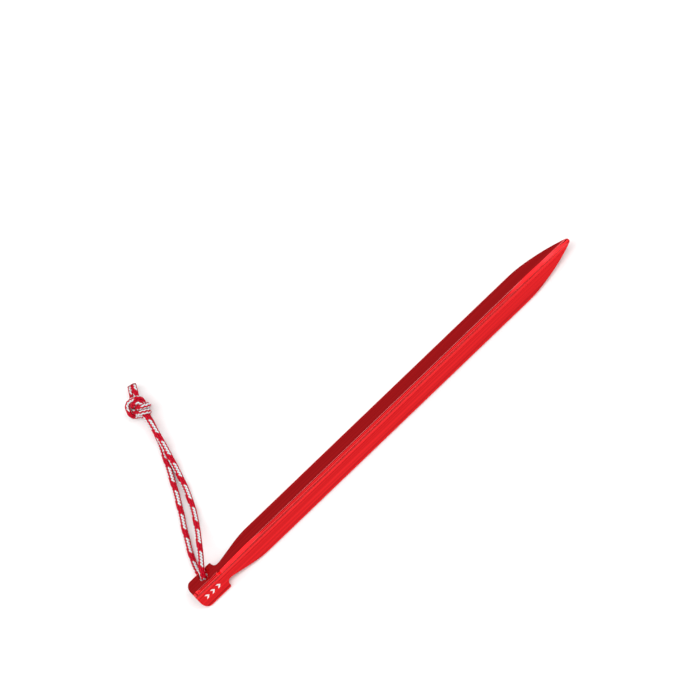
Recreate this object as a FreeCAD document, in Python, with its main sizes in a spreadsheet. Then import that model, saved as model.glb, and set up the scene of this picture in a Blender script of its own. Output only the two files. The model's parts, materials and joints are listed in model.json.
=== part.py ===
"""A Y-section tent stake, lying on the ground, with a braided pull loop through a hole near its head.

The stake is one length of extruded aluminium: three blades at 120 degrees, each with a thin web and a
rounded bead along its outer edge. The notch below the head, the long shoulder and the point are turned
about the axis, so all three blades have the same outline. The loop is one cord, a braided sheath over a
core, tied back on itself with an overhand knot that leaves two short tails.

Frame, in millimetres: +X from the head to the tip, +Z up, and the origin on the ground below the middle
of the stake.
"""

import FreeCAD
import Part

import math
import os
import re

import Sketcher
from FreeCAD import Placement, Rotation, Vector

DIMENSIONS = {
    # The extruded section.
    "stake_length": 190.0,
    "blade_radius": 6.75,
    "web_thickness": 1.15,
    "bead_radius": 0.75,
    "bead_blend": 16.0,
    "root_fillet": 2.6,
    "roll_angle": 14.5,
    # The turned outline, measured from the head end.
    "head_corner": 3.6,
    "head_length": 11.5,
    "notch_corner": 1.2,
    "notch_fillet": 1.7,
    "neck_radius": 3.8,
    "heel_arc": 7.7,
    "shoulder_arc": 60.0,
    "shoulder_angle": 12.0,
    "point_length": 31.0,
    "nose_radius": 0.9,
    "nose_length": 0.5,
    # The cord hole, in the blade that faces +Y.
    "hole_distance": 7.4,
    "hole_offset": 4.0,
    "hole_diameter": 3.6,
    # The printed chevrons, on the blade that faces -Y.
    "mark_start": 2.8,
    "mark_pitch": 2.8,
    "mark_inner": 1.9,
    "mark_height": 1.6,
    "mark_stroke": 0.85,
    "mark_lean": 0.9,
    "mark_thickness": 0.06,
    # The cord.
    "cord_diameter": 2.4,
    "core_diameter": 1.3,
    "core_gap": 0.05,
    "knot_half_length": 5.1,
    "knot_half_width": 3.7,
    "knot_half_height": 3.75,
}
CLEAR = 1.0  # how far a cutting outline reaches past the metal
BLADES = 3
CHEVRONS = 3
ARC_SHARE = 0.45  # the share of a run that the arc at each of its ends takes up

# The cord's route, as (distance from the head end, distance from the stake's axis toward +Y, height).
# It runs from the knot along the upper strand, down through the hole, round the edge of the blade and
# back to the knot along the lower strand.
LOOP_ROUTE = [
    (33.1, 66.9, 4.6),
    (31.3, 57.6, 3.75),
    (29.2, 49.6, 2.5),
    (26.9, 41.3, 1.3),
    (24.3, 32.9, 1.2),
    (20.8, 24.9, 1.5),
    (16.3, 17.0, 3.6),
    (11.7, 9.6, 5.8),
    (7.5, 4.15, 6.0),
    (7.3, 3.6, 1.25),
    (6.9, 8.4, 1.25),
    (10.1, 15.8, 1.2),
    (14.4, 23.9, 1.2),
    (18.9, 31.6, 1.2),
    (22.7, 39.3, 1.2),
    (26.3, 47.0, 1.2),
    (29.5, 54.2, 1.2),
    (32.0, 60.9, 1.3),
    (33.5, 67.4, 1.75),
]
KNOT_CENTRE = (33.0, 69.9, 3.85)
KNOT_TURN = -54.0  # from the stake's axis to the knot's long axis, about +Z
FRONT_TAIL = [(35.3, 71.4, 4.3), (37.5, 78.2, 4.6)]
BACK_TAIL = [(34.2, 72.4, 2.4), (36.1, 78.6, 2.0)]


def size(name):
    """A driving dimension, from the sheet."""
    return float(sheet.get(name))


def make_sheet(doc):
    """The driving dimensions, one named cell each."""
    made = doc.addObject("Spreadsheet::Sheet", "Dimensions")
    for row, (name, number) in enumerate(DIMENSIONS.items(), start=1):
        made.set(f"A{row}", name)
        made.set(f"B{row}", str(number))
        made.setAlias(f"B{row}", name)
    doc.recompute()
    return made


def cells(formula):
    """The formula with each driving dimension as a reference to its cell."""
    return re.sub(r"[a-z]+_[a-z]+(?:_[a-z]+)*", lambda word: f"Dimensions.{word[0]}", formula)


def bind(thing, prop, formula):
    thing.setExpression(prop, cells(formula))


def origin_feature(body, role):
    return next(f for f in body.Origin.OriginFeatures if f.Role == role)


def new_body(doc, label):
    body = doc.addObject("PartDesign::Body", label)
    body.Label = label
    return body


def new_sketch(body, name, plane):
    sketch = body.newObject("Sketcher::SketchObject", name)
    sketch.AttachmentSupport = [(origin_feature(body, plane), "")]
    sketch.MapMode = "FlatFace"
    return sketch


def draw_outline(sketch, corners):
    """A closed outline whose corners and radii are bound to the sheet.

    Each corner is (x formula, y formula), and then (radius formula, side) where the edge that leaves it is
    an arc: side is 1 for a centre to the left of the way it goes, and -1 for one to the right."""
    places = [Vector(*(float(sketch.evalExpression(cells(text))) for text in c[:2]), 0) for c in corners]
    for i, corner in enumerate(corners):
        start, end = places[i], places[(i + 1) % len(places)]
        if len(corner) == 2:
            sketch.addGeometry(Part.LineSegment(start, end), False)
            continue
        radius = float(sketch.evalExpression(cells(corner[2])))
        sketch.addGeometry(arc_between(start, end, radius, corner[3]), False)
    for i, corner in enumerate(corners):
        before = (i - 1) % len(corners)
        arrives = end_of(corners[before])
        sketch.addConstraint(Sketcher.Constraint("Coincident", before, arrives, i, start_of(corner)))
        for way, text, number in (("X", corner[0], places[i].x), ("Y", corner[1], places[i].y)):
            made = sketch.addConstraint(
                Sketcher.Constraint(f"Distance{way}", -1, 1, i, start_of(corner), number)
            )
            bind(sketch, f"Constraints[{made}]", text)
        if len(corner) > 2:
            radius = float(sketch.evalExpression(cells(corner[2])))
            made = sketch.addConstraint(Sketcher.Constraint("Radius", i, radius))
            bind(sketch, f"Constraints[{made}]", corner[2])


def start_of(corner):
    """Which end of a sketch edge is its first: an arc always runs anticlockwise."""
    return 2 if len(corner) > 2 and corner[3] < 0 else 1


def end_of(corner):
    return 3 - start_of(corner)


def arc_between(start, end, radius, side):
    """The short arc from start to end, as an anticlockwise arc of a circle."""
    along = end - start
    middle = (start + end) * 0.5
    left = Vector(-along.y, along.x, 0).normalize()
    reach = math.sqrt(max(radius**2 - (along.Length / 2) ** 2, 0.0))
    centre = middle + left * (reach * side)
    angles = [math.atan2(p.y - centre.y, p.x - centre.x) for p in (start, end)]
    if side < 0:
        angles.reverse()
    return Part.ArcOfCircle(Part.Circle(centre, Vector(0, 0, 1), radius), *angles)


def add_pad(body, sketch, length, name):
    pad = body.newObject("PartDesign::Pad", name)
    pad.Profile = sketch
    bind(pad, "Length", length)
    sketch.Visibility = False
    return pad


def add_groove(body, name, corners):
    """Turns the outline away, all round the stake's axis."""
    before = body.Tip.Shape.Volume
    sketch = new_sketch(body, f"{name}_outline", "XY_Plane")
    draw_outline(sketch, corners)
    groove = body.newObject("PartDesign::Groove", name)
    groove.Profile = sketch
    groove.ReferenceAxis = (origin_feature(body, "X_Axis"), [""])
    groove.Angle = 360
    body.Document.recompute()
    if not groove.Shape.Volume < before:
        raise ValueError(f"{name} cuts nothing")


def blade_outline():
    """One blade's section, from the stake's axis out along the first way, with a bead on its edge."""
    web = "web_thickness / 2"
    centre = "blade_radius - bead_radius"
    spread = "sqrt((bead_blend + bead_radius) ^ 2 - (bead_blend + web_thickness / 2) ^ 2)"
    share = "bead_radius / (bead_blend + bead_radius)"
    bead_x = f"{centre} - {spread} * {share}"
    bead_y = f"(bead_blend + web_thickness / 2) * {share}"
    return [
        ("0", f"-1 * {web}"),
        (f"{centre} - {spread}", f"-1 * {web}", "bead_blend", -1),
        (bead_x, f"-1 * {bead_y}", "bead_radius", 1),
        ("blade_radius", "0", "bead_radius", 1),
        (bead_x, bead_y, "bead_blend", -1),
        (f"{centre} - {spread}", web),
        ("0", web),
    ]


def head_outline():
    """Rounds the blades' corners at the head end."""
    return [
        ("0", "blade_radius - head_corner", "head_corner", -1),
        ("head_corner", "blade_radius"),
        ("head_corner", f"blade_radius + {CLEAR}"),
        (f"{-CLEAR}", f"blade_radius + {CLEAR}"),
        (f"{-CLEAR}", "blade_radius - head_corner"),
    ]


def notch_outline():
    """The hook below the head, the neck and the long shoulder back to full width."""
    wall = "head_length + notch_corner"
    neck = f"{wall} + notch_fillet"
    heel_end = f"{neck} + heel_arc * sin(shoulder_angle)"
    heel_top = "neck_radius + heel_arc * (1 - cos(shoulder_angle))"
    arc_start = "blade_radius - shoulder_arc * (1 - cos(shoulder_angle))"
    ramp = f"({arc_start} - ({heel_top})) / tan(shoulder_angle)"
    ramp_end = f"{heel_end} + {ramp}"
    full = f"{ramp_end} + shoulder_arc * sin(shoulder_angle)"
    return [
        ("head_length", "blade_radius", "notch_corner", -1),
        (wall, "blade_radius - notch_corner"),
        (wall, "neck_radius + notch_fillet", "notch_fillet", 1),
        (neck, "neck_radius", "heel_arc", 1),
        (heel_end, heel_top),
        (ramp_end, arc_start, "shoulder_arc", -1),
        (full, "blade_radius"),
        (full, f"blade_radius + {CLEAR}"),
        ("head_length", f"blade_radius + {CLEAR}"),
    ]


def point_outline():
    """The long curve to the tip, which ends in a small round nose."""
    start = "stake_length - point_length"
    run = "(point_length - nose_length)"
    drop = "(blade_radius - nose_radius)"
    curve = f"({run} ^ 2 + {drop} ^ 2) / (2 * {drop})"
    nose = "(nose_length ^ 2 + nose_radius ^ 2) / (2 * nose_length)"
    return [
        (start, "blade_radius", curve, -1),
        ("stake_length - nose_length", "nose_radius", nose, -1),
        ("stake_length", "0"),
        (f"stake_length + {CLEAR}", "0"),
        (f"stake_length + {CLEAR}", f"blade_radius + {CLEAR}"),
        (start, f"blade_radius + {CLEAR}"),
    ]


def root_edges(shape):
    """The long inner edges where two blades meet."""
    reach = size("web_thickness")
    found = []
    for number, edge in enumerate(shape.Edges, start=1):
        middle = edge.CenterOfMass
        along = edge.Length > 0.9 * size("stake_length")
        if along and 0.01 < math.hypot(middle.y, middle.z) < reach:
            found.append(f"Edge{number}")
    return found


def stake_placement():
    """Lays the stake down: its lower blade's bead and nothing else touches the ground."""
    bead = size("bead_radius")
    reach = size("blade_radius") - bead
    near, far = blade_angles()[1:]
    lowest = reach * math.sin(math.radians(far)) - bead
    widest = reach * math.cos(math.radians(near)) + bead
    narrowest = reach * math.cos(math.radians(far)) - bead
    base = Vector(-size("stake_length") / 2, -(widest + narrowest) / 2, -lowest)
    return Placement(base, Rotation(Vector(1, 0, 0), near))


def blade_angles():
    """The ways the upper, the +Y and the -Y blades point, in degrees from +Y towards +Z."""
    upper = 90 + size("roll_angle")
    return [upper, upper - 120, upper + 120]


def make_stake(doc):
    """The extruded and turned stake, made with its holed blade along +Y and its axis along +X."""
    body = new_body(doc, "stake_body")
    section = new_sketch(body, "blade_section", "YZ_Plane")
    draw_outline(section, blade_outline())
    pad = add_pad(body, section, "stake_length", "blade")
    doc.recompute()
    blades = body.newObject("PartDesign::PolarPattern", "blades")
    blades.Originals = [pad]
    blades.Axis = (origin_feature(body, "X_Axis"), [""])
    blades.Angle = 360
    blades.Occurrences = BLADES
    body.Tip = blades
    doc.recompute()
    roots = body.newObject("PartDesign::Fillet", "roots")
    roots.Base = (blades, root_edges(blades.Shape))
    bind(roots, "Radius", "root_fillet")
    body.Tip = roots
    doc.recompute()
    add_groove(body, "head_end", head_outline())
    add_groove(body, "notch", notch_outline())
    add_groove(body, "point", point_outline())
    add_cord_hole(body)
    body.Placement = stake_placement()
    return body


def add_cord_hole(body):
    """The hole for the cord, straight through the blade that lies along +Y."""
    before = body.Tip.Shape.Volume
    sketch = new_sketch(body, "cord_hole_outline", "XY_Plane")
    centre = Vector(size("hole_distance"), size("hole_offset"), 0)
    sketch.addGeometry(Part.Circle(centre, Vector(0, 0, 1), size("hole_diameter") / 2), False)
    formulas = ["hole_distance", "hole_offset", "hole_diameter"]
    rules = [
        Sketcher.Constraint("DistanceX", -1, 1, 0, 3, centre.x),
        Sketcher.Constraint("DistanceY", -1, 1, 0, 3, centre.y),
        Sketcher.Constraint("Diameter", 0, size("hole_diameter")),
    ]
    for rule, formula in zip(rules, formulas):
        made = sketch.addConstraint(rule)
        bind(sketch, f"Constraints[{made}]", formula)
    pocket = body.newObject("PartDesign::Pocket", "cord_hole")
    pocket.Profile = sketch
    pocket.SideType = "Symmetric"
    bind(pocket, "Length", "blade_radius")
    body.Document.recompute()
    if not pocket.Shape.Volume < before:
        raise ValueError("the cord hole cuts nothing")


def make_mark(doc):
    """Printed chevrons that point to the tip, on the upper side of the -Y blade."""
    body = new_body(doc, "blade_mark")
    sketch = new_sketch(body, "chevron_outline", "XY_Plane")
    outer = "mark_inner + mark_height"
    middle = "mark_inner + mark_height / 2"
    corners = [
        ("mark_start", "mark_inner"),
        ("mark_start + mark_stroke", "mark_inner"),
        ("mark_start + mark_stroke + mark_lean", middle),
        ("mark_start + mark_stroke", outer),
        ("mark_start", outer),
        ("mark_start + mark_lean", middle),
    ]
    draw_outline(sketch, corners)
    bind(sketch, "AttachmentOffset.Base.z", "-1 * web_thickness / 2")
    pad = add_pad(body, sketch, "mark_thickness", "chevron")
    pad.Reversed = True
    doc.recompute()
    row = body.newObject("PartDesign::LinearPattern", "chevrons")
    row.Originals = [pad]
    row.Direction = (origin_feature(body, "X_Axis"), [""])
    bind(row, "Length", f"mark_pitch * {CHEVRONS - 1}")
    row.Occurrences = CHEVRONS
    body.Tip = row
    stake = stake_placement()
    body.Placement = Placement(stake.Base, Rotation(Vector(1, 0, 0), blade_angles()[2]))
    return body


def in_frame(point):
    """A point given from the head end and the stake's axis, in the part's frame."""
    stake = stake_placement().Base
    return Vector(point[0] + stake.x, point[1] + stake.y, point[2])


def rounded_path(points):
    """Straight runs joined by tangent arcs, as (edges, radii)."""
    starts = [points[0]]
    arcs, radii = [], []
    for before, corner, after in zip(points, points[1:], points[2:]):
        back, ahead = before - corner, after - corner
        reach = ARC_SHARE * min(back.Length, ahead.Length)
        half_turn = (math.pi - back.getAngle(ahead)) / 2
        radius = reach / math.tan(half_turn)
        back.normalize()
        ahead.normalize()
        inward = (back + ahead).normalize()
        centre = corner + inward * (radius / math.cos(half_turn))
        ends = corner + back * reach, corner + ahead * reach
        arcs.append(Part.Arc(ends[0], centre - inward * radius, ends[1]))
        starts += ends
        radii.append(radius)
    starts.append(points[-1])
    edges = []
    for number in range(0, len(starts), 2):
        edges.append(Part.LineSegment(starts[number], starts[number + 1]).toShape())
        if number // 2 < len(arcs):
            edges.append(arcs[number // 2].toShape())
    return edges, radii


def tube(edges, radius):
    """A solid round tube along the edges, with its volume compared with its section times its length."""
    path = Part.Wire(edges)
    start = edges[0].valueAt(edges[0].FirstParameter)
    way = edges[0].tangentAt(edges[0].FirstParameter)
    section = Part.Wire(Part.Circle(start, way, radius).toShape())
    solid = path.makePipeShell([section], True, False)
    expected = math.pi * radius**2 * path.Length
    if abs(solid.Volume - expected) > 0.02 * expected:
        raise ValueError(f"the tube's volume is {solid.Volume:.2f}, and {expected:.2f} was expected")
    return solid


def add_feature(doc, label, shape):
    made = doc.addObject("Part::Feature", label)
    made.Label = label
    made.Shape = shape
    made.Placement = Placement()
    return made


def make_tail(route):
    """A short straight end of the cord, sealed round."""
    start, end = (in_frame(point) for point in route)
    radius = size("cord_diameter") / 2
    way = end - start
    stem = Part.makeCylinder(radius, way.Length, start, way)
    return stem.fuse(Part.makeSphere(radius, end)).removeSplitter()


def make_knot():
    """The outer shape of the overhand knot, as an ellipsoid."""
    ball = Part.makeSphere(1.0)
    stretch = FreeCAD.Matrix()
    stretch.scale(size("knot_half_length"), size("knot_half_width"), size("knot_half_height"))
    knot = ball.transformGeometry(stretch)
    knot.Placement = Placement(in_frame(KNOT_CENTRE), Rotation(Vector(0, 0, 1), KNOT_TURN))
    return knot


def make_cord(doc):
    """The loop's sheath and core, the knot round their ends, and the two tails that leave it."""
    edges, radii = rounded_path([in_frame(point) for point in LOOP_ROUTE])
    print("cord radii, mm:", " ".join(f"{radius:.1f}" for radius in radii))
    print(f"loop length, mm: {Part.Wire(edges).Length:.1f}")
    outside = tube(edges, size("cord_diameter") / 2)
    core = tube(edges, size("core_diameter") / 2)
    inside = tube(edges, size("core_diameter") / 2 + size("core_gap"))
    tails = [make_tail(FRONT_TAIL), make_tail(BACK_TAIL)]
    knot = make_knot()
    for piece in [outside, *tails]:
        knot = knot.cut(piece)
    knot = max(knot.Solids, key=lambda solid: solid.Volume)
    return [
        add_feature(doc, "loop_sheath", outside.cut(inside)),
        add_feature(doc, "loop_core", core),
        add_feature(doc, "loop_knot", knot),
        add_feature(doc, "tail_front", tails[0]),
        add_feature(doc, "tail_back", tails[1]),
    ]


def check_and_write(doc, pieces):
    """Every object computed, every piece a valid shape, and one STEP file for each piece."""
    for thing in doc.Objects:
        if "Invalid" in thing.State or "Error" in thing.State:
            raise ValueError(f"{thing.Label} failed to compute: {thing.State}")
    for piece in pieces:
        if piece.Shape.isNull() or not piece.Shape.isValid():
            raise ValueError(f"{piece.Label} is not a valid shape")
    os.makedirs("parts", exist_ok=True)
    for piece in pieces:
        piece.Shape.exportStep(f"parts/{piece.Label}.step")
        box = piece.Shape.BoundBox
        print(
            f"{piece.Label}: {len(piece.Shape.Solids)} solid(s), {piece.Shape.Volume:.1f} mm3,",
            f"X {box.XMin:.2f}..{box.XMax:.2f}, Y {box.YMin:.2f}..{box.YMax:.2f},",
            f"Z {box.ZMin:.2f}..{box.ZMax:.2f}",
        )


doc = FreeCAD.newDocument("tent_stake")
sheet = make_sheet(doc)
pieces = [make_stake(doc), make_mark(doc), *make_cord(doc)]
doc.recompute()
check_and_write(doc, pieces)
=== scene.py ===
"""The looks of a Y-section tent stake with a braided pull loop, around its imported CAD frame."""

import json
import math

import bpy
import numpy as np
from mathutils import Matrix, Vector


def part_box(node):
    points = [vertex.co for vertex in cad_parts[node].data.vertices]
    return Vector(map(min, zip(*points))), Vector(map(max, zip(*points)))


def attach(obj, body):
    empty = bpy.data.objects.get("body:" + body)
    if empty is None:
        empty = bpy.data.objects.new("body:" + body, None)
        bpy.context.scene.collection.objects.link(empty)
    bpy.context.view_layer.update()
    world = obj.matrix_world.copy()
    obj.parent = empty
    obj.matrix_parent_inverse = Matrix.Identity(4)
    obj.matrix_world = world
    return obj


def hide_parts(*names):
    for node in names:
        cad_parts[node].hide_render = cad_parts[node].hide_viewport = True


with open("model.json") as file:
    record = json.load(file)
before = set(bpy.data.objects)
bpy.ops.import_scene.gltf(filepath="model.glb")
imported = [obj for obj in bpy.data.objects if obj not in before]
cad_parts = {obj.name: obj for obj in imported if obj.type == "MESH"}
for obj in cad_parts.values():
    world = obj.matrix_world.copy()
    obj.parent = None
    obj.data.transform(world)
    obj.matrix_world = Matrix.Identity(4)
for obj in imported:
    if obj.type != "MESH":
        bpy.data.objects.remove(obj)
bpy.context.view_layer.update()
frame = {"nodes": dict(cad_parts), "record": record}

MM = 0.001

# The stake's head end and its axis, which the cord's route and the camera are given from.
HEAD_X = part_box("stake_body")[0].x
STRIKE_FACE = Vector(next(m["pos_m"] for m in frame["record"]["mounts"] if m["name"] == "strike_face"))
AXIS_Y, AXIS_Z = STRIKE_FACE.y, STRIKE_FACE.z

# The camera, which sees the stake lying flat, from above and a little to the -Y side.
VIEW_LEAN = math.radians(20.5)  # how far the view leans from straight down
VIEW_ROLL = math.radians(43.8)  # how far the stake's tip points above the picture's right
VIEW_ALONG = 103.9 * MM  # the picture's middle, from the head end along the stake
VIEW_ASIDE = 26.27 * MM  # and from the stake's axis towards the loop
VIEW_WIDTH = 256.9 * MM
VIEW_DISTANCE = 4.0

# The cord: the route is the one that its CAD solids follow, as (distance from the head end, distance from
# the stake's axis towards +Y, height) in millimetres, from the knot, through the hole and back.
CORD_DIAMETER = 2.4 * MM
LOOP_ROUTE = [
    (33.1, 66.9, 4.6),
    (31.3, 57.6, 3.75),
    (29.2, 49.6, 2.5),
    (26.9, 41.3, 1.3),
    (24.3, 32.9, 1.2),
    (20.8, 24.9, 1.5),
    (16.3, 17.0, 3.6),
    (11.7, 9.6, 5.8),
    (7.5, 4.15, 6.0),
    (7.3, 3.6, 1.25),
    (6.9, 8.4, 1.25),
    (10.1, 15.8, 1.2),
    (14.4, 23.9, 1.2),
    (18.9, 31.6, 1.2),
    (22.7, 39.3, 1.2),
    (26.3, 47.0, 1.2),
    (29.5, 54.2, 1.2),
    (32.0, 60.9, 1.3),
    (33.5, 67.4, 1.75),
]

# The overhand knot, in the same measures: the middle of its pair of strands, and the way from the front
# strand to the back one.
KNOT_ROUTE = [
    ((33.7, 68.3, 3.2), (0.9, 0.0, -0.5)),
    ((34.4, 70.0, 3.4), (1.0, 0.0, 0.0)),
    ((34.8, 71.2, 4.2), (0.8, 0.6, 0.0)),
    ((33.7, 71.6, 5.2), (0.4, 0.9, 0.0)),
    ((31.9, 71.9, 5.2), (-0.1, 1.0, 0.0)),
    ((30.5, 71.9, 4.4), (-0.6, 0.8, 0.0)),
    ((30.0, 71.0, 3.2), (-1.0, 0.2, 0.0)),
    ((30.5, 69.9, 1.8), (-0.8, -0.6, 0.0)),
    ((32.0, 69.4, 1.1), (-0.2, -1.0, 0.0)),
    ((33.7, 68.9, 1.1), (-0.2, -1.0, 0.0)),
    ((35.5, 68.0, 2.2), (0.0, -1.0, 0.0)),
    ((35.7, 67.3, 4.2), (0.0, -1.0, 0.0)),
    ((34.4, 67.5, 5.6), (-0.2, -1.0, 0.0)),
    ((32.9, 68.0, 5.8), (-0.4, -0.9, 0.0)),
    ((31.6, 69.1, 5.2), (-0.7, -0.7, 0.0)),
    ((31.6, 70.9, 3.8), (-1.0, -0.1, 0.0)),
    ((32.8, 72.5, 2.4), (-1.0, -0.1, -0.2)),
    ((34.3, 73.7, 2.3), (-0.9, 0.0, -0.5)),
    ((35.4, 75.2, 3.0), (-0.6, 0.3, -0.8)),
]
FRONT_TAIL_END = (37.4, 78.0, 4.5)
BACK_TAIL_END = (36.1, 79.0, 2.3)
STRAND_RADIUS = 1.0  # millimetres, where the knot squeezes the cord
STRAND_POINTS = 110
SETTLING_STEPS = 1200
HOLDING_STEPS = 400  # the first steps, in which the strands are held near the route
EARLY_HOLD, LATE_HOLD = 0.03, 0.008  # the share of the way back to the route, each step
PUSH_SHARE = 0.25  # of an overlap, taken away each step
EVENING_SHARE = 0.3  # of the way to the middle of a point's neighbours, each step
LENGTH_ROUNDS = 4  # of mending the spacing between the points, each step
LENGTH_SHARE = 0.45  # of an error in the spacing, moved at both of its ends
FLOOR_GAP = 1.15 * STRAND_RADIUS  # the least height of a strand's middle
NEIGHBOUR_REACH = 2.4 * STRAND_RADIUS  # along one strand, within which points don't push each other
HELD_POINTS = 3  # at the loop's end of each strand, which stay where they are
TINY = 1e-9  # keeps a point's distance to itself off zero
TIGHTENING = 0.1  # the share of its length that a strand in the knot gives up
TAIL_ZONE = 5.0 * MM  # over which a strand widens to the cord's own size, in a tail or beside the loop

# The braid: eight yarns each way round, five neighbours of one way's eight being the pale tracer.
CARRIERS = 8
TRACERS = 5
BRAID_PITCH = 9.4 * MM
BRAID_PHASE = 2.73
COLUMN_CELLS = 4  # one column of stitches each way takes up four cells of the weave
RELIEF = 0.17 * MM
RING_STEP = 0.13 * MM
RING_POINTS = 64
SEALED = 0.6 * MM  # the melted end of a tail

# The studio: the light from all round, the floor, and each softbox's place, size and radiance.
ROOM_RADIANCE = 0.45
FLOOR_SIDE = 8.0
SOFTBOXES = [
    ("top_light", (0, 0, 1.6), (2.4, 1.2), 1.6),
    ("side_light", (0, -1.5, 0.52), (2.6, 0.85), 0.6),
    ("head_light", (-1.5, 0.55, 1.25), (1.5, 1.5), 2.6),
    ("tip_light", (1.5, -0.35, 1.25), (1.5, 1.5), 2.0),
]


# ---------------------------------------------------------------- places

def in_frame(point):
    """A route point, in millimetres from the head end and the axis, in the row frame."""
    return Vector((HEAD_X + point[0] * MM, AXIS_Y + point[1] * MM, point[2] * MM))


def smooth_line(points):
    """Points along the NURBS spline that has these control points."""
    curve = bpy.data.curves.new("route", "CURVE")
    curve.dimensions = "3D"
    spline = curve.splines.new("NURBS")
    spline.points.add(len(points) - 1)
    for control, point in zip(spline.points, points):
        control.co = (*point, 1.0)
    spline.order_u = 3
    spline.use_endpoint_u = True
    spline.resolution_u = 32
    holder = bpy.data.objects.new("route", curve)
    mesh = bpy.data.meshes.new_from_object(holder)
    line = np.array([v.co for v in mesh.vertices], float)
    bpy.data.objects.remove(holder)
    bpy.data.curves.remove(curve)
    bpy.data.meshes.remove(mesh)
    return line


def distances(line):
    """How far along the line each of its points is."""
    return np.concatenate([[0], np.cumsum(np.linalg.norm(np.diff(line, axis=0), axis=1))])


def even_points(line, count):
    """So many points at even distances along the line."""
    along = distances(line)
    at = np.linspace(0, along[-1], count)
    return np.stack([np.interp(at, along, line[:, k]) for k in range(3)], axis=1)


def carried_frames(line, up):
    """Two directions across the line at each point, which don't twist about it."""
    ways = np.gradient(line, axis=0)
    ways /= np.linalg.norm(ways, axis=1)[:, None]
    side = np.array(up, float)
    first = []
    for way in ways:
        side = side - way * (side @ way)
        side /= np.linalg.norm(side)
        first.append(side)
    first = np.array(first)
    return first, np.cross(ways, first)


# ---------------------------------------------------------------- the knot's strands

def knot_strands():
    """The front and the back strand, from the loop's ends to the tails' ends, settled against each other."""
    centre = np.array([place for place, _ in KNOT_ROUTE])
    aside = np.array([way for _, way in KNOT_ROUTE]) * STRAND_RADIUS
    strands = []
    for route, end, before, tail_end in (
        (centre - aside, LOOP_ROUTE[0], LOOP_ROUTE[1], FRONT_TAIL_END),
        (centre + aside, LOOP_ROUTE[-1], LOOP_ROUTE[-2], BACK_TAIL_END),
    ):
        end, before, tail_end = (np.array(p) for p in (end, before, tail_end))
        way = (end - before) / np.linalg.norm(end - before)
        strands.append(even_points(smooth_line([end, end + way, *route, tail_end]), STRAND_POINTS))
    return settle(np.array(strands))


def settle(strands):
    """Moves the strands apart where they overlap, off the floor and to an even bend, and tightens them."""
    home = strands.reshape(-1, 3)
    gaps = np.linalg.norm(np.diff(strands, axis=1), axis=2).mean(axis=1)
    number = np.arange(2 * STRAND_POINTS)
    strand, place = np.divmod(number, STRAND_POINTS)
    apart = np.abs(place[:, None] - place[None]) * gaps.mean()
    neighbours = (strand[:, None] == strand[None]) & (apart < NEIGHBOUR_REACH)
    held = (place < HELD_POINTS) | (place == STRAND_POINTS - 1)
    points = home.copy()
    for step in range(SETTLING_STEPS):
        between = points[:, None] - points[None]
        distance = np.linalg.norm(between, axis=2) + TINY
        overlap = np.clip(2 * STRAND_RADIUS - distance, 0, None)
        overlap[neighbours] = 0
        push = (between / distance[..., None] * overlap[..., None]).sum(axis=1)
        hold = EARLY_HOLD if step < HOLDING_STEPS else LATE_HOLD
        points += PUSH_SHARE * push + (home - points) * hold
        slack = 1 - TIGHTENING * (step / SETTLING_STEPS)
        for k in range(2):
            line = points[strand == k]
            line[1:-1] += EVENING_SHARE * ((line[:-2] + line[2:]) / 2 - line[1:-1])
            for _ in range(LENGTH_ROUNDS):
                run = np.diff(line, axis=0)
                length = np.linalg.norm(run, axis=1)[:, None]
                excess = LENGTH_SHARE * run * (1 - gaps[k] * slack / length)
                line[:-1] += excess
                line[1:] -= excess
            points[strand == k] = line
        points[:, 2] = np.maximum(points[:, 2], FLOOR_GAP)
        points[held] = home[held]
    return points.reshape(2, -1, 3)


# ---------------------------------------------------------------- meshes

def new_mesh(name, points, faces, body):
    mesh = bpy.data.meshes.new(name)
    mesh.from_pydata([tuple(p) for p in points], [], faces)
    mesh.shade_smooth()
    made = bpy.data.objects.new(name, mesh)
    bpy.context.scene.collection.objects.link(made)
    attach(made, body)
    return made


def point_values(mesh, name, values):
    kept = mesh.attributes.new(name, "FLOAT", "POINT")
    kept.data.foreach_set("value", np.asarray(values, np.float32).ravel())


def tube_faces(rings, around):
    """Quads between the rings, and a cap at each end."""
    faces = []
    for i in range(rings - 1):
        for j in range(around):
            k = (j + 1) % around
            faces.append((i * around + j, i * around + k, (i + 1) * around + k, (i + 1) * around + j))
    faces.append(tuple(range(around))[::-1])
    faces.append(tuple((rings - 1) * around + j for j in range(around)))
    return faces


def braid(along, around):
    """The braid's height, from 0 in the gaps to 1, and whether the yarn on top is a tracer yarn."""
    turns = around / (2 * math.pi) * CARRIERS
    rise = along / BRAID_PITCH * CARRIERS
    one, other = turns + rise, turns - rise
    one_id, other_id = np.floor(one), np.floor(other)
    one_on_top = np.mod(one_id + other_id, COLUMN_CELLS) < COLUMN_CELLS / 2
    across = np.where(one_on_top, one - one_id, other - other_id)
    bow = np.sqrt(np.clip(1 - (2 * across - 1) ** 2, 0, 1))
    column = np.mod(one + other, COLUMN_CELLS)
    column = np.where(column < COLUMN_CELLS / 2, column, column - COLUMN_CELLS / 2)
    dive = np.sin(np.clip(column / (COLUMN_CELLS / 2), 0, 1) * math.pi) ** 0.5
    tracer = one_on_top & (np.mod(one_id, CARRIERS) < TRACERS)
    return bow * (0.35 + 0.65 * dive), tracer


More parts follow.
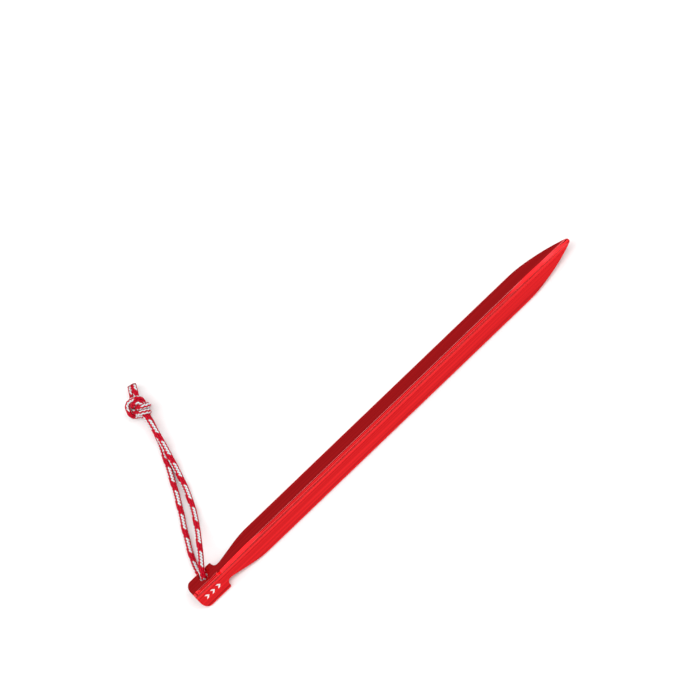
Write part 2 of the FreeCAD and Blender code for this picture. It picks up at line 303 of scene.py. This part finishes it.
class Cord:
    """The whole cord on one line, from the front tail's end to the back tail's, with one braid round it."""

    def __init__(self, parts):
        line = np.concatenate([parts[0], *(part[1:] for part in parts[1:])])
        marks = np.cumsum([distances(part)[-1] for part in parts])
        self.line = even_points(line, int(marks[-1] / RING_STEP))
        self.first, self.second = carried_frames(self.line, (0, 0, 1))
        self.along = distances(self.line)
        whole = self.along[-1]
        ends = np.minimum(self.along, whole - self.along)
        knot = np.minimum(np.abs(self.along - marks[0] / 2), np.abs(self.along - (marks[1] + whole) / 2))
        reach = np.where(self.along < whole / 2, marks[0], whole - marks[1]) / 2
        squeezed = np.clip((reach - knot) / TAIL_ZONE, 0, 1)
        self.radius = CORD_DIAMETER / 2 + (STRAND_RADIUS * MM - CORD_DIAMETER / 2) * squeezed
        share = np.clip(ends / SEALED, 0, 1)
        self.radius *= 0.3 + 0.7 * np.sqrt(1 - (1 - share) ** 2)
        self.sealed = 1 - np.clip(ends / SEALED - 0.4, 0, 1)
        self.cuts = np.searchsorted(self.along, [0, marks[0], marks[1], whole])

    def piece(self, name, number, body, slot):
        """One of the cord's three stretches as a closed braided tube."""
        here = slice(self.cuts[number], self.cuts[number + 1] + 1)
        around = np.linspace(0, 2 * math.pi, RING_POINTS, endpoint=False)
        s, a = np.meshgrid(self.along[here], around, indexing="ij")
        height, tracer = braid(s, a + BRAID_PHASE)
        relief = RELIEF * (1 - self.sealed[here, None])
        out = self.radius[here, None] - relief * (1 - height)
        points = (
            self.line[here, None]
            + self.first[here, None] * (np.cos(a) * out)[..., None]
            + self.second[here, None] * (np.sin(a) * out)[..., None]
        ).reshape(-1, 3)
        made = new_mesh(name, points, tube_faces(len(s), RING_POINTS), body)
        point_values(made.data, "tracer", tracer)
        point_values(made.data, "height", height)
        point_values(made.data, "sealed", np.broadcast_to(self.sealed[here, None], s.shape))
        return made

    def stretch(self, number):
        """The middle line of one of the three stretches."""
        return self.line[self.cuts[number]:self.cuts[number + 1] + 1]


def core_mesh(name, line, body):
    """A bundle of straight yarns along the line, as a lobed rod."""
    yarns, radius, lobe, points_around = 7, 0.55 * MM, 0.14, 42
    line = even_points(line, len(line) // 3)
    first, second = carried_frames(line, (0, 0, 1))
    a = np.linspace(0, 2 * math.pi, points_around, endpoint=False)
    out = radius * (1 + lobe * np.abs(np.cos(a * yarns / 2)))
    points = (
        line[:, None]
        + first[:, None] * (np.cos(a) * out)[None, :, None]
        + second[:, None] * (np.sin(a) * out)[None, :, None]
    ).reshape(-1, 3)
    return new_mesh(name, points, tube_faces(len(line), points_around), body)


# ---------------------------------------------------------------- materials

class Nodes:
    """A material's node tree, with short ways to add to it."""

    def __init__(self, name):
        self.material = bpy.data.materials.new(name)
        self.material.use_nodes = True
        self.tree = self.material.node_tree
        self.shader = self.tree.nodes["Principled BSDF"]

    def add(self, kind, **settings):
        node = self.tree.nodes.new(kind)
        for name, value in settings.items():
            setattr(node, name, value)
        return node

    def join(self, source, target):
        self.tree.links.new(source, target)

    def mix(self, share, first, second):
        """A colour between two, each a colour or an output."""
        node = self.add("ShaderNodeMix", data_type="RGBA")
        for socket, value in ((node.inputs[0], share), (node.inputs[6], first), (node.inputs[7], second)):
            self.feed(socket, value)
        return node.outputs[2]

    def feed(self, socket, value):
        if isinstance(value, bpy.types.NodeSocket):
            self.join(value, socket)
        elif isinstance(value, tuple):
            socket.default_value = (*value, 1.0)
        else:
            socket.default_value = value

    def attribute(self, name):
        return self.add("ShaderNodeAttribute", attribute_name=name).outputs["Fac"]

    def noise(self, scale, stretch=(1, 1, 1), detail=3.0):
        """Noise in the piece's own place, in waves per metre, stretched by so much along each axis."""
        place = self.add("ShaderNodeTexCoord").outputs["Object"]
        mapping = self.add("ShaderNodeMapping")
        mapping.inputs["Scale"].default_value = stretch
        self.join(place, mapping.inputs["Vector"])
        node = self.add("ShaderNodeTexNoise")
        node.inputs["Scale"].default_value = scale
        node.inputs["Detail"].default_value = detail
        self.join(mapping.outputs["Vector"], node.inputs["Vector"])
        return node.outputs["Fac"]

    def span(self, value, low, high, out_low=0.0, out_high=1.0):
        node = self.add("ShaderNodeMapRange")
        for socket, number in zip(node.inputs, (value, low, high, out_low, out_high)):
            self.feed(socket, number)
        return node.outputs[0]

    def bump(self, height, distance, strength):
        node = self.add("ShaderNodeBump")
        node.inputs["Distance"].default_value = distance
        node.inputs["Strength"].default_value = strength
        self.join(height, node.inputs["Height"])
        return node.outputs["Normal"]

    def set(self, **values):
        for name, value in values.items():
            self.feed(self.shader.inputs[name.replace("_", " ")], value)
        return self.material


def anodised_red():
    """Dyed anodised aluminium: a metal, with fine die lines along the extrusion and a thin clear skin."""
    made = Nodes("anodised_red")
    lines = made.noise(1700, (0.004, 1, 1), 1.0)
    broad = made.noise(700, (0.02, 1, 1), 2.0)
    cloud = made.noise(60, (0.4, 1, 1), 3.0)
    colour = made.mix(made.span(lines, 0.3, 0.7), (0.62, 0.011, 0.014), (0.82, 0.017, 0.021))
    colour = made.mix(made.span(cloud, 0.3, 0.7, 0.0, 0.25), colour, (0.72, 0.0135, 0.017))
    rough = made.span(broad, 0.3, 0.7, 0.10, 0.17)
    normal = made.bump(broad, 0.00001, 0.5)
    return made.set(
        Base_Color=colour,
        Metallic=1.0,
        Roughness=rough,
        Normal=normal,
        Coat_Weight=0.10,
        Coat_Roughness=0.10,
    )


def white_print():
    """Matt white ink, a little broken up by the metal's lines below it."""
    made = Nodes("white_print")
    grain = made.noise(5000, (0.2, 1, 1), 4.0)
    colour = made.mix(made.span(grain, 0.25, 0.6), (0.86, 0.83, 0.82), (0.97, 0.97, 0.96))
    return made.set(Base_Color=colour, Roughness=0.6, Normal=made.bump(grain, 0.00002, 0.4))


def braided_cord():
    """Crimson and pale tracer yarns of fine fibres, with painted shade in the gaps where they dive under
    each other.
    """
    made = Nodes("braided_cord")
    fibres = made.noise(9000, (1, 1, 1), 4.0)
    fade = made.noise(1500, (1, 1, 1), 2.0)
    height = made.attribute("height")
    tracer = made.attribute("tracer")
    sealed = made.attribute("sealed")
    red = made.mix(made.span(fibres, 0.3, 0.7), (0.56, 0.0018, 0.018), (0.84, 0.0045, 0.033))
    # Painted shade: the red turns near black in the gaps of the braid, where the yarns dive under each
    # other.
    red = made.mix(made.span(height, 0.25, 0.95), (0.09, 0.0005, 0.003), red)
    pale = made.mix(made.span(fibres, 0.3, 0.7), (0.58, 0.68, 0.70), (0.86, 0.93, 0.93))
    # Painted shade: the pale tracer turns dark in the same gaps.
    pale = made.mix(made.span(height, 0.1, 0.75), (0.24, 0.12, 0.14), pale)
    pale = made.mix(made.span(fade, 0.35, 0.6, 0.3, 0.0), pale, (0.50, 0.54, 0.58))
    colour = made.mix(tracer, red, pale)
    colour = made.mix(made.span(sealed, 0.1, 0.6), colour, (0.26, 0.004, 0.008))
    normal = made.bump(fibres, 0.00006, 0.5)
    return made.set(
        Base_Color=colour,
        Roughness=made.span(sealed, 0.1, 0.6, 0.62, 0.35),
        Normal=normal,
        Specular_IOR_Level=0.08,
        Sheen_Weight=0.02,
        Sheen_Roughness=0.4,
    )


def core_yarn():
    """White yarns that run straight along the inside of the cord."""
    made = Nodes("core_yarn")
    fibres = made.noise(7000, (1, 1, 1), 4.0)
    colour = made.mix(made.span(fibres, 0.3, 0.7), (0.70, 0.70, 0.67), (0.92, 0.92, 0.89))
    return made.set(Base_Color=colour, Roughness=0.8, Normal=made.bump(fibres, 0.00005, 0.5))


def studio_floor():
    made = Nodes("studio_floor")
    grain = made.noise(400, (1, 1, 1), 2.0)
    colour = made.mix(grain, (0.93, 0.93, 0.93), (0.96, 0.96, 0.96))
    return made.set(Base_Color=colour, Roughness=0.9, Specular_IOR_Level=0.0)


# ---------------------------------------------------------------- camera and light

def make_camera():
    back = Vector((0, -math.sin(VIEW_LEAN), math.cos(VIEW_LEAN)))
    along = Vector((1, 0, 0))
    aside = back.cross(along)
    right = along * math.cos(VIEW_ROLL) - aside * math.sin(VIEW_ROLL)
    up = along * math.sin(VIEW_ROLL) + aside * math.cos(VIEW_ROLL)
    middle = Vector((HEAD_X + VIEW_ALONG, AXIS_Y, AXIS_Z)) + aside * VIEW_ASIDE
    data = bpy.data.cameras.new("camera")
    data.sensor_width = 36.0
    data.lens = data.sensor_width * VIEW_DISTANCE / VIEW_WIDTH
    data.clip_start = 0.01
    data.clip_end = 50.0
    camera = bpy.data.objects.new("camera", data)
    bpy.context.scene.collection.objects.link(camera)
    turn = Matrix((right, up, back)).transposed().to_4x4()
    camera.matrix_world = Matrix.Translation(middle + back * VIEW_DISTANCE) @ turn
    bpy.context.scene.camera = camera


def softbox(name, place, size, radiance):
    """A large soft light that faces the frame's origin. size is its length, turned to X, and its width."""
    data = bpy.data.lights.new(name, "AREA")
    data.shape = "RECTANGLE"
    data.size, data.size_y = size
    data.energy = radiance * math.pi * size[0] * size[1]
    made = bpy.data.objects.new(name, data)
    bpy.context.scene.collection.objects.link(made)
    back = Vector(place).normalized()
    across = back.cross(Vector((1, 0, 0))).normalized()
    turn = Matrix((across.cross(back), across, back)).transposed().to_4x4()
    made.matrix_world = Matrix.Translation(place) @ turn


def plain_room():
    """Even light from all round."""
    world = bpy.data.worlds.new("room")
    bpy.context.scene.world = world
    world.use_nodes = True
    background = world.node_tree.nodes["Background"]
    background.inputs["Color"].default_value = (1, 1, 1, 1)
    background.inputs["Strength"].default_value = ROOM_RADIANCE


def make_studio():
    """A pale floor in a plain room, with four large soft lights."""
    half = FLOOR_SIDE / 2
    corners = [(-half, -half, 0), (half, -half, 0), (half, half, 0), (-half, half, 0)]
    mesh = bpy.data.meshes.new("floor")
    mesh.from_pydata(corners, [], [(0, 1, 2, 3)])
    floor = bpy.data.objects.new("floor", mesh)
    bpy.context.scene.collection.objects.link(floor)
    mesh.materials.append(studio_floor())
    plain_room()
    for name, place, size, radiance in SOFTBOXES:
        softbox(name, place, size, radiance)
    bpy.context.scene.view_settings.view_transform = "Standard"


# ---------------------------------------------------------------- the cord

def make_cord():
    """The loop, the knot's two strands with their tails, and the core inside the loop."""
    front, back = knot_strands()
    loop_line = smooth_line([in_frame(p) for p in LOOP_ROUTE])
    front_line = smooth_line([in_frame(p) for p in front[::-1]])
    back_line = smooth_line([in_frame(p) for p in back])
    cord = Cord([front_line, loop_line, back_line])
    front_strand = cord.piece("knot_strand_front", 0, "cord_loop", "braided_cord")
    loop = cord.piece("pull_loop", 1, "cord_loop", "braided_cord")
    back_strand = cord.piece("knot_strand_back", 2, "cord_loop", "braided_cord")
    core = core_mesh("core_yarns", cord.stretch(1), "cord_loop")
    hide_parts("loop_sheath")
    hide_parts("loop_knot", "tail_front")
    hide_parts("tail_back")
    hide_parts("loop_core")
    material = braided_cord()
    for piece in (front_strand, loop, back_strand):
        piece.data.materials.append(material)
    core.data.materials.append(core_yarn())


make_camera()
make_studio()
make_cord()
for node, material in (("stake_body", anodised_red()), ("blade_mark", white_print())):
    frame["nodes"][node].data.materials.clear()
    frame["nodes"][node].data.materials.append(material)
